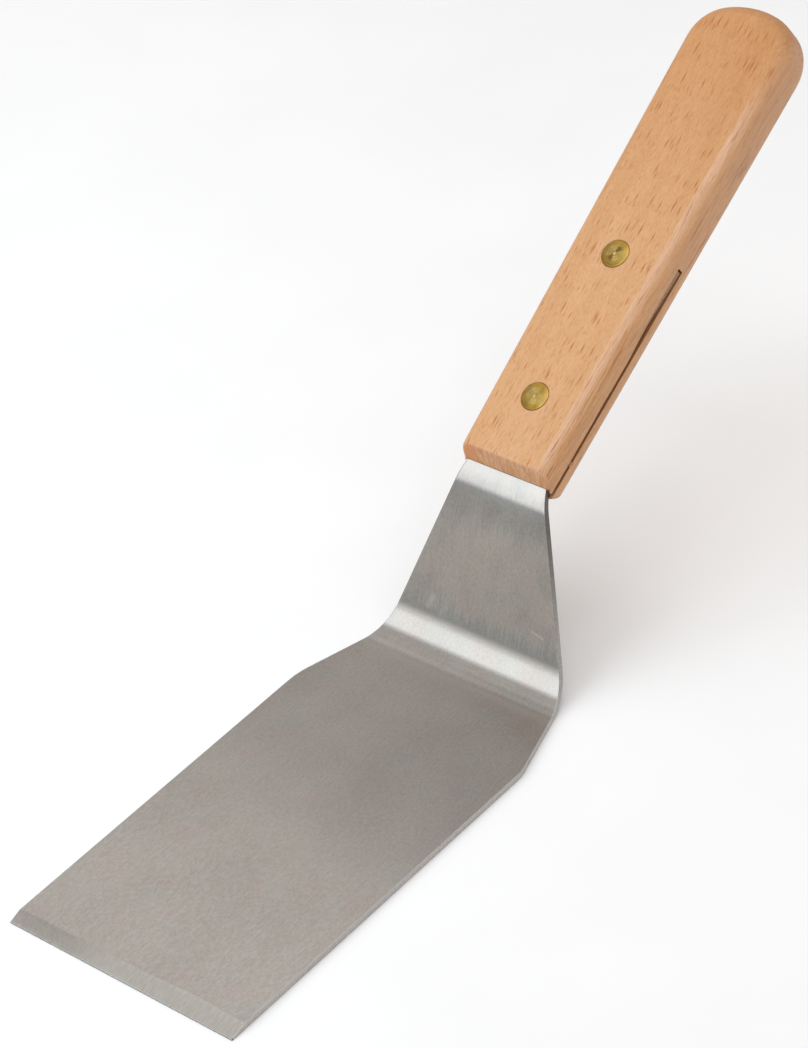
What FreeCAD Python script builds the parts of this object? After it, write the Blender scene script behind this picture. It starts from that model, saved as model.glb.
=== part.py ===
"""Grill spatula: one bent steel sheet, a sawn beech handle and two two-piece brass rivets.

Millimetres. +X runs from the blade's front edge to the handle, +Y across the blade, +Z up.
The origin is on the blade's flat underside, at the middle of its full-width stretch.
"""
import FreeCAD, Part
import math
import os

import Sketcher

Vector = FreeCAD.Vector

SIZES = [
    # alias, value, what it is
    ("sheet_thickness", 1.6, "steel sheet"),
    ("blade_width", 76.2, "full width of the blade"),
    ("blade_length", 106.0, "front edge to the left shoulder"),
    ("bend_distance", 132.7, "front edge to where the blade and the neck would meet in a corner"),
    ("neck_angle", 62.9, "slope of the neck above the blade, degrees"),
    ("neck_length", 49.3, "corner to corner, from the blade to the tang"),
    ("handle_angle", 29.2, "slope of the tang and the handle above the blade, degrees"),
    ("lower_bend_radius", 12.8, "middle of the sheet, between blade and neck"),
    ("upper_bend_radius", 10.8, "middle of the sheet, between neck and tang"),
    ("neck_width", 25.2, "narrowest width, where the tang begins"),
    ("tang_end_width", 31.2, "width at the tang's rear corners"),
    ("right_shoulder_setback", 0.7, "how much further back the right shoulder is"),
    ("left_shoulder_radius", 20.0, "round of the shoulder at +Y"),
    ("right_shoulder_radius", 4.0, "round of the shoulder at -Y"),
    ("grind_length", 4.4, "width of the bevel ground on the front edge"),
    ("front_edge_thickness", 0.4, "what the bevel leaves at the front edge"),
    ("handle_setback", 1.65, "corner of neck and tang to the upper jaw's face"),
    ("handle_length", 138.5, "upper jaw's face to the butt"),
    ("handle_front_width", 29.2, "width at the front"),
    ("handle_butt_width", 33.2, "width where the butt's corners begin"),
    ("handle_thickness", 13.4, "top face to bottom face"),
    ("handle_edge_radius", 4.2, "round along the long edges and the butt"),
    ("butt_left_radius", 11.8, "corner of the butt at +Y, seen from above"),
    ("butt_right_radius", 13.5, "corner of the butt at -Y, seen from above"),
    ("butt_end_radius", 25.6, "end of the butt, seen from above"),
    ("jaw_slope", 2.8, "how far each jaw's front face slopes back"),
    ("lower_jaw_overhang", 0.9, "how far the lower jaw stands ahead of the upper one"),
    ("lower_jaw_lip", 0.5, "left square below the kerf before the lower jaw slopes back"),
    ("jaw_edge_radius", 0.6, "easing where the jaws slope away from the top and bottom faces"),
    ("kerf_width", 2.1, "saw kerf that takes the tang"),
    ("kerf_depth", 68.4, "upper jaw's face to the kerf's deepest point"),
    ("saw_radius", 60.0, "the circular saw that cut the kerf"),
    ("tang_gap", 0.7, "left between the tang's end and the kerf's end"),
    ("front_rivet_distance", 20.5, "upper jaw's face to the front rivet"),
    ("rear_rivet_distance", 62.9, "upper jaw's face to the rear rivet"),
    ("rivet_head_diameter", 7.8, "both heads of a rivet"),
    ("rivet_head_height", 2.2, "rim of a head, sunk to the wood's surface"),
    ("rivet_crown", 0.35, "how far a head is domed above its rim"),
    ("rivet_tube_diameter", 4.6, "shank of the female half"),
    ("rivet_post_diameter", 3.0, "shank of the male half, pressed into the tube"),
    ("rivet_clearance", 0.1, "gap round a shank in the wood and the steel"),
    ("tube_gap", 0.4, "left between the tube's end and the male head"),
    ("post_gap", 0.2, "left between the post's end and the female head"),
    ("seat_clearance", 0.06, "gap round a head in its seat"),
    ("cut_margin", 3.0, "how far a cutting outline runs past the wood"),
]

ORIGIN_PLANES = {"XY": "XY_Plane", "XZ": "XZ_Plane"}
HELIX_STEPS = 12
TOLERANCE = 1e-6

doc = FreeCAD.newDocument("grill_spatula")
sheet = doc.addObject("Spreadsheet::Sheet", "Sizes")


def fill_sheet():
    """Writes each driving dimension as a plain number with its alias and its meaning."""
    for row, (alias, value, meaning) in enumerate(SIZES, start=1):
        sheet.set("A%d" % row, alias)
        sheet.set("B%d" % row, str(value))
        sheet.setAlias("B%d" % row, alias)
        sheet.set("C%d" % row, meaning)
    doc.recompute()


def size(alias):
    """The value of one driving dimension."""
    return float(sheet.get(alias))


def evaluate(owner, formula):
    """The number that a formula over the sheet stands for."""
    result = owner.evalExpression(formula)
    return float(getattr(result, "Value", result))


# ---------------------------------------------------------------- sketches and bodies


def new_sketch(body, name, plane, lift=None):
    """An empty sketch on one of the body's own origin planes, lifted off it by a formula."""
    sketch = body.newObject("Sketcher::SketchObject", name)
    role = ORIGIN_PLANES[plane]
    support = next(item for item in body.Origin.OriginFeatures if item.Role == role)
    sketch.AttachmentSupport = [(support, "")]
    sketch.MapMode = "FlatFace"
    if lift:
        sketch.setExpression("AttachmentOffset.Base.z", lift)
    return sketch


def dimension(sketch, name, formula, kind, *arguments):
    """A driving dimension of a sketch, bound to the sheet by a formula."""
    index = sketch.addConstraint(Sketcher.Constraint(kind, *arguments))
    sketch.renameConstraint(index, name)
    sketch.setExpression("Constraints." + name, formula)


def closed_polygon(sketch, corners):
    """Lines from corner to corner and back to the first; returns the lines' numbers."""
    points = [Vector(x, y, 0) for x, y in corners]
    lines = [
        sketch.addGeometry(Part.LineSegment(start, end), False)
        for start, end in zip(points, points[1:] + points[:1])
    ]
    for line, following in zip(lines, lines[1:] + lines[:1]):
        sketch.addConstraint(Sketcher.Constraint("Coincident", line, 2, following, 1))
    return lines


def place_corner(sketch, line, x_formula, y_formula, x, y):
    """Ties the first point of a line to a place given from the sketch's origin."""
    for axis, formula, value in (("X", x_formula, x), ("Y", y_formula, y)):
        name = "corner_%d_%s" % (line, axis.lower())
        dimension(sketch, name, formula, "Distance" + axis, -1, 1, line, 1, value)


def corner_values(sketch, corners):
    """Where the corners are that are given as pairs of formulas over the sheet."""
    return [tuple(evaluate(sketch, formula) for formula in corner) for corner in corners]


def formula_polygon(sketch, corners):
    """A closed polygon whose corners are given as pairs of formulas over the sheet."""
    values = corner_values(sketch, corners)
    for line, corner, value in zip(closed_polygon(sketch, values), corners, values):
        place_corner(sketch, line, corner[0], corner[1], value[0], value[1])


# ---------------------------------------------------------------- blade, neck and tang


def up_from(slope):
    """The sheet's upward normal where it slopes by this angle, in radians."""
    return Vector(-math.sin(slope), 0, math.cos(slope))


def along(slope):
    """The direction along the sheet where it slopes by this angle, in radians."""
    return Vector(math.cos(slope), 0, math.sin(slope))


def sheet_zones():
    """The sheet's zones from the front edge to the tang: where each starts, how long it is once
    flattened, its slope there, and its radius (None if flat, negative if it bends down)."""
    neck, tang = math.radians(size("neck_angle")), math.radians(size("handle_angle"))
    lower, upper = size("lower_bend_radius"), size("upper_bend_radius")
    lower_reach = lower * math.tan(neck / 2)
    upper_reach = upper * math.tan((neck - tang) / 2)
    end_of_tang = size("handle_setback") + size("kerf_depth") - size("tang_gap")
    lengths_slopes_radii = [
        ("ground_edge", size("grind_length"), 0, None),
        ("blade", size("bend_distance") - lower_reach - size("grind_length"), 0, None),
        ("lower_bend", lower * neck, 0, lower),
        ("neck", size("neck_length") - lower_reach - upper_reach, neck, None),
        ("upper_bend", upper * (neck - tang), neck, -upper),
        ("tang", end_of_tang - upper_reach, tang, None),
    ]
    point = Vector(-size("blade_length") / 2, 0, size("sheet_thickness") / 2)
    zones, flat = [], 0.0
    for name, length, slope, radius in lengths_slopes_radii:
        zone = {"name": name, "from": flat, "to": flat + length}
        zone.update(point=point, slope=slope, radius=radius)
        zones.append(zone)
        point, flat = on_sheet(zone, flat + length, 0, 0), flat + length
    return zones


def on_sheet(zone, flat, across, height):
    """Where a point of the flat sheet goes once it is bent: flat is its distance from the front
    edge, across its distance from the centre line, height its distance from the mid-plane."""
    run, slope, radius = flat - zone["from"], zone["slope"], zone["radius"]
    if radius is None:
        middle = zone["point"] + along(slope) * run
    else:
        centre = zone["point"] + up_from(slope) * radius
        slope += run / radius
        middle = centre - up_from(slope) * radius
    return middle + up_from(slope) * height + Vector(0, across, 0)


def half_outline(zones, shoulder, shoulder_radius):
    """One side of the flat sheet from front to rear, zone by zone, as lists of (distance, half
    width): two points for a straight edge and three for an arc. Full width ends at the shoulder,
    and a straight taper runs from there to the start of the tang."""
    ends = {zone["name"]: (zone["from"], zone["to"]) for zone in zones}
    half_blade, half_neck = size("blade_width") / 2, size("neck_width") / 2
    tang_start, tang_corner = ends["tang"][0], tang_corner_at(zones)
    taper = math.atan2(half_blade - half_neck, tang_start - shoulder)
    reach = shoulder_radius * math.tan(taper / 2)

    def tapered(flat):
        return flat, half_blade - (flat - shoulder) * math.tan(taper)

    arc_start = (shoulder - reach, half_blade)
    arc_middle = (
        arc_start[0] + shoulder_radius * math.sin(taper / 2),
        half_blade - shoulder_radius * (1 - math.cos(taper / 2)),
    )
    arc_end = tapered(shoulder + reach * math.cos(taper))
    grind = ends["ground_edge"][1]
    outline = {
        "ground_edge": [[(0, half_blade), (grind, half_blade)]],
        "blade": [
            [(grind, half_blade), arc_start],
            [arc_start, arc_middle, arc_end],
            [arc_end, tapered(ends["blade"][1])],
        ],
        "tang": [[(tang_start, half_neck), (tang_corner, size("tang_end_width") / 2)]],
    }
    for name in ("lower_bend", "neck", "upper_bend"):
        outline[name] = [[tapered(flat) for flat in ends[name]]]
    return outline


def tang_corner_at(zones):
    """How far back the tang's rear corners are, its end being an arc like the kerf's."""
    half_width, radius = size("tang_end_width") / 2, size("saw_radius")
    return zones[-1]["to"] - radius + math.sqrt(radius**2 - half_width**2)


def sheet_edge(zone, points, side, height):
    """One edge of the bent sheet: a line, an arc or, in a bend, part of a helix."""
    if zone["radius"] is not None:
        (start, wide), (end, narrow) = points
        shares = [step / HELIX_STEPS for step in range(HELIX_STEPS + 1)]
        points = [(start + (end - start) * s, wide + (narrow - wide) * s) for s in shares]
    places = [on_sheet(zone, flat, side * half, height(flat)) for flat, half in points]
    if zone["radius"] is not None:
        helix = Part.BSplineCurve()
        helix.interpolate(Points=places)
        return helix.toShape()
    if len(places) == 3:
        return Part.Arc(*places).toShape()
    return Part.makeLine(*places)


def bent_sheet():
    """The whole sheet as one solid, skinned zone by zone."""
    zones = sheet_zones()
    half_thickness = size("sheet_thickness") / 2
    front_height = size("front_edge_thickness") - half_thickness
    grind = size("grind_length")

    def top(flat):
        return min(half_thickness, front_height + (half_thickness - front_height) * flat / grind)

    def bottom(flat):
        return -half_thickness

    left_shoulder = size("blade_length")
    right_shoulder = left_shoulder + size("right_shoulder_setback")
    outlines = {
        1: half_outline(zones, left_shoulder, size("left_shoulder_radius")),
        -1: half_outline(zones, right_shoulder, size("right_shoulder_radius")),
    }
    faces = []
    for zone in zones:
        edges = {
            (side, layer): [
                sheet_edge(zone, points, side, layer) for points in outlines[side][zone["name"]]
            ]
            for side in (1, -1)
            for layer in (top, bottom)
        }
        for side in (1, -1):
            pairs = zip(edges[side, top], edges[side, bottom])
            faces += [Part.makeRuledSurface(upper, lower) for upper, lower in pairs]
        for layer in (top, bottom):
            left, right = edges[1, layer], edges[-1, layer]
            if zone["radius"] is not None:
                faces.append(Part.makeRuledSurface(left[0], right[0]))
                continue
            front = Part.makeLine(left[0].firstVertex().Point, right[0].firstVertex().Point)
            rear_points = left[-1].lastVertex().Point, right[-1].lastVertex().Point
            if zone["name"] == "tang":
                middle = on_sheet(zone, zone["to"], 0, layer(zone["to"]))
                rear = Part.Arc(rear_points[0], middle, rear_points[1]).toShape()
            else:
                rear = Part.makeLine(*rear_points)
            faces.append(Part.Face(Part.Wire(Part.__sortEdges__([front, rear] + left + right))))
            edges["front", layer], edges["rear", layer] = front, rear
        if zone["name"] == "ground_edge":
            faces.append(Part.makeRuledSurface(edges["front", top], edges["front", bottom]))
        if zone["name"] == "tang":
            faces.append(Part.makeRuledSurface(edges["rear", top], edges["rear", bottom]))
    skin = Part.makeShell(faces)
    skin.sewShape()
    solid = Part.makeSolid(skin)
    if solid.Volume < 0:
        solid.reverse()
    return solid


def handle_placement():
    """Puts a handle frame (X to the butt, Z out of its top face, origin at the upper jaw's face
    on the handle's mid-plane) into the spatula: the tang lies against the kerf's upper wall."""
    tang = sheet_zones()[-1]
    corner_to_tang = size("upper_bend_radius") * math.tan(
        math.radians(size("neck_angle") - size("handle_angle")) / 2
    )
    jaw = tang["from"] - corner_to_tang + size("handle_setback")
    below_tang = (size("kerf_width") - size("sheet_thickness")) / 2
    turn = FreeCAD.Rotation(Vector(0, 1, 0), -size("handle_angle"))
    return FreeCAD.Placement(on_sheet(tang, jaw, 0, -below_tang), turn)


def rivet_placement(distance):
    """The handle frame moved back to a rivet's axis."""
    return handle_placement() * FreeCAD.Placement(Vector(distance, 0, 0), FreeCAD.Rotation())


def make_blade():
    """The bent sheet, less a hole for each rivet."""
    blank = doc.addObject("Part::Feature", "bent_sheet")
    blank.Shape = bent_sheet()
    holes = []
    for which in ("front", "rear"):
        hole = doc.addObject("Part::Cylinder", which + "_tang_hole")
        hole.setExpression("Radius", "Sizes.rivet_tube_diameter / 2 + Sizes.rivet_clearance")
        hole.setExpression("Height", "Sizes.handle_thickness")
        middle = FreeCAD.Placement(Vector(0, 0, -size("handle_thickness") / 2), FreeCAD.Rotation())
        hole.Placement = rivet_placement(size(which + "_rivet_distance")) * middle
        holes.append(hole)
    both = doc.addObject("Part::MultiFuse", "tang_holes")
    both.Shapes = holes
    blade = doc.addObject("Part::Cut", "blade_neck_and_tang")
    blade.Base, blade.Tool = blank, both
    return blade


# ---------------------------------------------------------------- handle


def handle_outline(sketch):
    """The handle seen from above: tapered sides and a flattened round butt of three arcs."""
    front, overhang = size("handle_front_width") / 2, size("lower_jaw_overhang")
    butt, end = size("handle_butt_width") / 2, size("butt_end_radius")
    end_centre = size("handle_length") - end
    quarter = math.pi / 2

    def corner_centre(radius):
        rise = butt - radius
        return end_centre + math.sqrt((end - radius) ** 2 - rise**2), rise

    def line(start, stop):
        return sketch.addGeometry(Part.LineSegment(Vector(*start, 0), Vector(*stop, 0)), False)

    def arc(centre, radius, start, stop):
        circle = Part.Circle(Vector(*centre, 0), Vector(0, 0, 1), radius)
        return sketch.addGeometry(Part.ArcOfCircle(circle, start, stop), False)

    left_radius, right_radius = size("butt_left_radius"), size("butt_right_radius")
    left_x, left_y = corner_centre(left_radius)
    right_x, right_y = corner_centre(right_radius)
    left_meet = math.atan2(left_y, left_x - end_centre)
    right_meet = math.atan2(right_y, right_x - end_centre)

    face = line((-overhang, front), (-overhang, -front))
    right = line((-overhang, -front), (right_x, -butt))
    right_corner = arc((right_x, -right_y), right_radius, -quarter, -right_meet)
    butt_end = arc((end_centre, 0), end, -right_meet, left_meet)
    left_corner = arc((left_x, left_y), left_radius, left_meet, quarter)
    left = line((left_x, butt), (-overhang, front))

    add = sketch.addConstraint
    add(Sketcher.Constraint("Coincident", face, 2, right, 1))
    add(Sketcher.Constraint("Coincident", left, 2, face, 1))
    for first, second in zip(
        (right, right_corner, butt_end, left_corner), (right_corner, butt_end, left_corner, left)
    ):
        add(Sketcher.Constraint("Tangent", first, 2, second, 1))
    add(Sketcher.Constraint("Symmetric", face, 1, face, 2, -1))
    add(Sketcher.Constraint("PointOnObject", butt_end, 3, -1))
    tip, width = "Sizes.lower_jaw_overhang", "Sizes.handle_front_width"
    dimension(sketch, "overhang", tip, "DistanceX", face, 1, -1, 1, overhang)
    dimension(sketch, "front", width, "DistanceY", face, 2, face, 1, 2 * front)
    half_butt = "Sizes.handle_butt_width / 2"
    dimension(sketch, "left_butt", half_butt, "DistanceY", -1, 1, left, 1, butt)
    dimension(sketch, "right_butt", half_butt, "DistanceY", right, 2, -1, 1, butt)
    dimension(sketch, "left_round", "Sizes.butt_left_radius", "Radius", left_corner, left_radius)
    dimension(sketch, "right_round", "Sizes.butt_right_radius", "Radius", right_corner, right_radius)
    dimension(sketch, "end_round", "Sizes.butt_end_radius", "Radius", butt_end, end)
    reach = "Sizes.handle_length - Sizes.butt_end_radius"
    dimension(sketch, "reach", reach, "DistanceX", -1, 1, butt_end, 3, end_centre)


def long_edges(shape):
    """Names of the edges of the top and bottom faces, apart from those across the front."""
    half, front = size("handle_thickness") / 2, -size("lower_jaw_overhang")
    names = []
    for number, edge in enumerate(shape.Edges, start=1):
        box = edge.BoundBox
        on_a_face = box.ZLength < TOLERANCE and abs(abs(box.ZMax) - half) < TOLERANCE
        if on_a_face and box.XMax > front + TOLERANCE:
            names.append("Edge%d" % number)
    return names


def cut_jaws(body):
    """Slopes the front face of each jaw back from the kerf, the lower jaw standing further out."""
    sketch = new_sketch(body, "jaw_faces", "XZ")
    half, lip = "Sizes.handle_thickness / 2", "-Sizes.kerf_width / 2 - Sizes.lower_jaw_lip"
    over, under = half + " + Sizes.cut_margin", "-%s - Sizes.cut_margin" % half
    ahead = "-Sizes.lower_jaw_overhang - Sizes.cut_margin"
    upper_tip, upper_end = "0", "Sizes.jaw_slope"
    lower_tip, lower_end = "-Sizes.lower_jaw_overhang", "Sizes.jaw_slope - Sizes.lower_jaw_overhang"
    jaws = (("0", upper_tip, upper_end, half, over), (lip, lower_tip, lower_end, "-" + half, under))
    for inner, tip, end, face, outside in jaws:
        corners = [(ahead, inner), (tip, inner), (end, face), (end, outside), (ahead, outside)]
        formula_polygon(sketch, corners)
    pocket = body.newObject("PartDesign::Pocket", "jaw_slopes")
    pocket.Profile = sketch
    pocket.Type = "ThroughAll"
    pocket.Midplane = True
    return pocket


def cut_kerf(body):
    """Cuts the slot that a circular saw leaves when it runs in from the front."""
    sketch = new_sketch(body, "saw_disc", "XY")
    radius, centre = size("saw_radius"), size("kerf_depth") - size("saw_radius")
    circle = sketch.addGeometry(Part.Circle(Vector(centre, 0, 0), Vector(0, 0, 1), radius), False)
    sketch.addConstraint(Sketcher.Constraint("PointOnObject", circle, 3, -1))
    dimension(sketch, "radius", "Sizes.saw_radius", "Radius", circle, radius)
    reach = "Sizes.kerf_depth - Sizes.saw_radius"
    dimension(sketch, "reach", reach, "DistanceX", -1, 1, circle, 3, centre)
    pocket = body.newObject("PartDesign::Pocket", "kerf")
    pocket.Profile = sketch
    pocket.Midplane = True
    pocket.setExpression("Length", "Sizes.kerf_width")
    return pocket


def rivet_circles(sketch, diameter_formula):
    """A circle on each rivet's axis."""
    for which in ("front", "rear"):
        distance = "Sizes.%s_rivet_distance" % which
        place = Vector(evaluate(sketch, distance), 0, 0)
        radius = evaluate(sketch, diameter_formula) / 2
        circle = sketch.addGeometry(Part.Circle(place, Vector(0, 0, 1), radius), False)
        sketch.addConstraint(Sketcher.Constraint("PointOnObject", circle, 3, -1))
        dimension(sketch, which, distance, "DistanceX", -1, 1, circle, 3, place.x)
        dimension(sketch, which + "_size", diameter_formula, "Diameter", circle, 2 * radius)


def drill_handle(body):
    """Through holes for the shanks, and a seat for each head in the top and bottom faces."""
    shanks = new_sketch(body, "shank_circles", "XY")
    rivet_circles(shanks, "Sizes.rivet_tube_diameter + 2 * Sizes.rivet_clearance")
    through = body.newObject("PartDesign::Pocket", "shank_holes")
    through.Profile = shanks
    through.Type = "ThroughAll"
    through.Midplane = True
    seats = new_sketch(body, "seat_circles", "XY", "Sizes.handle_thickness / 2")
    rivet_circles(seats, "Sizes.rivet_head_diameter + 2 * Sizes.seat_clearance")
    sunk = body.newObject("PartDesign::Pocket", "head_seats")
    sunk.Profile = seats
    sunk.setExpression("Length", "Sizes.rivet_head_height")
    doc.recompute()
    both = body.newObject("PartDesign::Mirrored", "both_head_seats")
    both.Originals = [sunk]
    mid_plane = next(item for item in body.Origin.OriginFeatures if item.Role == "XY_Plane")
    both.MirrorPlane = (mid_plane, [""])
    body.Tip = both


def jaw_edges(shape):
    """Names of the edges where the jaws' sloping front faces meet the top and bottom faces."""
    slope, half = size("jaw_slope"), size("handle_thickness") / 2
    names = []
    for number, edge in enumerate(shape.Edges, start=1):
        box = edge.BoundBox
        on_a_face = box.XLength < TOLERANCE and abs(abs(box.ZMax) - half) < TOLERANCE
        at_jaws = box.XMax < slope + TOLERANCE and box.YLength > size("handle_front_width") / 2
        if on_a_face and at_jaws:
            names.append("Edge%d" % number)
    return names


def make_handle():
    """One piece of beech: sawn to outline, rounded, sloped at the front, kerfed and drilled."""
    body = doc.addObject("PartDesign::Body", "handle")
    outline = new_sketch(body, "outline", "XY")
    handle_outline(outline)
    blank = body.newObject("PartDesign::Pad", "blank")
    blank.Profile = outline
    blank.Midplane = True
    blank.setExpression("Length", "Sizes.handle_thickness")
    doc.recompute()
    rounds = body.newObject("PartDesign::Fillet", "long_rounds")
    rounds.Base = (blank, long_edges(blank.Shape))
    rounds.setExpression("Radius", "Sizes.handle_edge_radius")
    doc.recompute()
    jaws = cut_jaws(body)
    doc.recompute()
    eased = body.newObject("PartDesign::Fillet", "jaw_easing")
    eased.Base = (jaws, jaw_edges(jaws.Shape))
    eased.setExpression("Radius", "Sizes.jaw_edge_radius")
    doc.recompute()
    cut_kerf(body)
    doc.recompute()
    drill_handle(body)
    body.Placement = handle_placement()
    return body


# ---------------------------------------------------------------- rivets


def revolve_profile(body, corners, crown):
    """Turns a half section about the rivet's axis. The head's face, from the rim's corner to the
    axis, is an arc through the crown's height; the other sides are straight lines."""
    sketch = new_sketch(body, "half_section", "XZ")
    values = corner_values(sketch, corners)
    rim, peak = values[-1], values[0]
    lines = [
        sketch.addGeometry(Part.LineSegment(Vector(*start, 0), Vector(*stop, 0)), False)
        for start, stop in zip(values, values[1:])
    ]
    face_radius = (rim[0] ** 2 + crown**2) / (2 * crown)
    centre = Vector(0, peak[1] - math.copysign(face_radius, peak[1]), 0)
    angles = [math.atan2(point[1] - centre.y, point[0]) for point in (rim, peak)]
    circle = Part.Circle(centre, Vector(0, 0, 1), face_radius)
    face = sketch.addGeometry(Part.ArcOfCircle(circle, min(angles), max(angles)), False)
    rim_end, peak_end = (1, 2) if angles[0] < angles[1] else (2, 1)
    for line, following in zip(lines, lines[1:]):
        sketch.addConstraint(Sketcher.Constraint("Coincident", line, 2, following, 1))
    sketch.addConstraint(Sketcher.Constraint("Coincident", lines[-1], 2, face, rim_end))
    sketch.addConstraint(Sketcher.Constraint("Coincident", lines[0], 1, face, peak_end))
    sketch.addConstraint(Sketcher.Constraint("PointOnObject", face, 3, -2))
    for line, corner, value in zip(lines, corners, values):
        place_corner(sketch, line, corner[0], corner[1], value[0], value[1])
    for axis, formula, value in zip("XY", corners[-1], rim):
        name = "rim_" + axis.lower()
        dimension(sketch, name, formula, "Distance" + axis, -1, 1, lines[-1], 2, value)
    turned = body.newObject("PartDesign::Revolution", "turned")
    turned.Profile = sketch
    turned.ReferenceAxis = (sketch, ["V_Axis"])
    turned.Angle = 360


def make_rivet(which, half):
    """One half of a two-piece rivet, in the handle frame moved to the rivet's axis."""
    body = doc.addObject("PartDesign::Body", "%s_rivet_%s" % (which, half))
    rim, head = "Sizes.handle_thickness / 2", "Sizes.rivet_head_diameter / 2"
    seat = "(Sizes.handle_thickness / 2 - Sizes.rivet_head_height)"
    post, tube = "Sizes.rivet_post_diameter / 2", "Sizes.rivet_tube_diameter / 2"
    bore_end, tube_end = "-%s - Sizes.post_gap" % seat, seat + " - Sizes.tube_gap"
    if half == "male":
        corners = [
            ("0", rim + " + Sizes.rivet_crown"),
            ("0", "-" + seat),
            (post, "-" + seat),
            (post, seat),
            (head, seat),
            (head, rim),
        ]
    else:
        corners = [
            ("0", "-%s - Sizes.rivet_crown" % rim),
            ("0", bore_end),
            (post, bore_end),
            (post, tube_end),
            (tube, tube_end),
            (tube, "-" + seat),
            (head, "-" + seat),
            (head, "-" + rim),
        ]
    revolve_profile(body, corners, size("rivet_crown"))
    body.Placement = rivet_placement(size(which + "_rivet_distance"))
    return body


# ---------------------------------------------------------------- document


def check_document(subparts):
    """Stops if any object failed to recompute or any sub-part isn't a valid solid."""
    for item in doc.Objects:
        if {"Invalid", "Error"} & set(item.State):
            raise RuntimeError("%s failed: %s" % (item.Name, item.State))
    for subpart in subparts:
        shape = subpart.Shape
        if shape.isNull() or not shape.isValid() or not shape.Solids:
            raise RuntimeError("%s has no valid solid" % subpart.Label)


fill_sheet()
subparts = [make_blade(), make_handle()]
subparts += [make_rivet(which, half) for which in ("front", "rear") for half in ("male", "female")]
doc.recompute()
check_document(subparts)

os.makedirs("parts", exist_ok=True)
for subpart in subparts:
    subpart.Shape.exportStep("parts/%s.step" % subpart.Label)
    print(subpart.Label, "%.1f mm3" % subpart.Shape.Volume, subpart.Shape.BoundBox)
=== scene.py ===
"""Looks of the grill spatula: a bent satin steel sheet, a bare beech handle and brass rivets.

Shapes are worked out in millimetres and turned into metres as each mesh is made. The frame is the
part's own: +X from the blade's front edge to the handle, +Y across, +Z up, blade flat on the floor.
"""
from math import atan2, cos, exp, hypot, pi, radians, sin, sqrt, tan

import bmesh
import bpy
from mathutils import Matrix, Vector, noise


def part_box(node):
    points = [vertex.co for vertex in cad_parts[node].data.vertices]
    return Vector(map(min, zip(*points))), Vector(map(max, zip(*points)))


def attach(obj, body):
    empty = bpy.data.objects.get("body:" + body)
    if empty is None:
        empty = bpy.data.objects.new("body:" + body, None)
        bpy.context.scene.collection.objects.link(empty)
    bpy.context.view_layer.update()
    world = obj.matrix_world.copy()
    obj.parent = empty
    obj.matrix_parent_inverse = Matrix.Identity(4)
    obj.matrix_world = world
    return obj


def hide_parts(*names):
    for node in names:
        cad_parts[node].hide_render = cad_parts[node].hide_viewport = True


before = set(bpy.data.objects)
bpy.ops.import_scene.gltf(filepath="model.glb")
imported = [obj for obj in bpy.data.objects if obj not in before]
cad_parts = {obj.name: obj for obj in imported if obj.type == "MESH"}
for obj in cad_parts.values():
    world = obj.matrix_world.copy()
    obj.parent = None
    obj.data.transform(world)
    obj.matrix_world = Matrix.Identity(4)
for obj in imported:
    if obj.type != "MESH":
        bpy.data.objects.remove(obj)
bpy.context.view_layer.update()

MM = 0.001
steel_low, steel_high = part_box("blade_neck_and_tang")

# the sheet
FRONT_X = steel_low.x / MM
HALF_BLADE = steel_high.y / MM
SHEET = 1.6
BEND_DISTANCE, NECK_LENGTH = 132.7, 49.3
NECK_SLOPE, HANDLE_SLOPE = radians(62.9), radians(29.2)
LOWER_BEND, UPPER_BEND = 12.8, 14.0
LOWER_REACH = LOWER_BEND * tan(NECK_SLOPE / 2)
UPPER_REACH = UPPER_BEND * tan((NECK_SLOPE - HANDLE_SLOPE) / 2)
HALF_NECK, HALF_TANG_END = 12.6, 15.6
LEFT_SHOULDER, LEFT_SHOULDER_RADIUS = 106.0, 20.0
RIGHT_SHOULDER, RIGHT_SHOULDER_RADIUS = 106.7, 4.0
SHEARED_EDGE_RADIUS, EDGE_STEPS = 0.2, 3

# the bevel ground on its front edge, with an extra row of vertices just behind that keeps it crisp
GRIND, GRIND_SKEW, FRONT_EDGE, BEHIND_GRIND = 4.4, 0.75, 0.4, 0.3
EASED_LENGTH, EASED_TOP, EASED_BOTTOM, EASED_SIDES = 0.06, 0.05, 0.06, 0.12

# scuffs on the sheet's top: from and to (distance from the front edge, across), width, strength
WEAR_MARKS = [
    ((146.2, -16.2), (145.0, -21.8), 0.5, 0.45),
    ((140.4, 17.8), (145.6, 15.4), 1.3, 0.28),
    ((139.6, 13.2), (142.6, 12.4), 0.8, 0.22),
]

# the handle
HANDLE_SETBACK, HANDLE_LENGTH, HALF_THICK = 1.65, 138.5, 6.7
HALF_FRONT, HALF_BUTT, LONG_ROUND = 14.6, 16.6, 4.2
CUTTER_RADIUS, CUTTER_TILT = 4.6, radians(14)
BUTT_LEFT, BUTT_RIGHT, BUTT_END = 11.8, 13.5, 25.6
CHIP_X, CHIP_SIZE = 9.3, (0.9, 0.7, 0.6)
JAW_SLOPE, LOWER_JAW_OVERHANG, LOWER_JAW_LIP = 2.8, 0.9, 0.5
TOP_EASING, SIDE_EASING, LOWER_EASING = 0.6, 1.3, 0.9
KERF, KERF_DEPTH, SAW_RADIUS, TANG_GAP = 2.1, 68.4, 60.0, 0.6
PINCH, PINCH_FADES, PINCH_ENDS = 1.05, 38.0, 58.0

# the rivets
RIVETS = {"front": 20.5, "rear": 62.9}
HEAD_RADIUS, HEAD_HEIGHT, HEAD_RIM, CROWN = 3.9, 2.2, 0.15, 0.35
TUBE_RADIUS, POST_RADIUS, SHANK_HOLE, SEAT_RADIUS = 2.3, 1.5, 2.4, 3.96

# the light: how much brighter than a plain white studio it is, so that the floor comes out white
STUDIO_GAIN = 1.12


# ---------------- meshes


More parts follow.
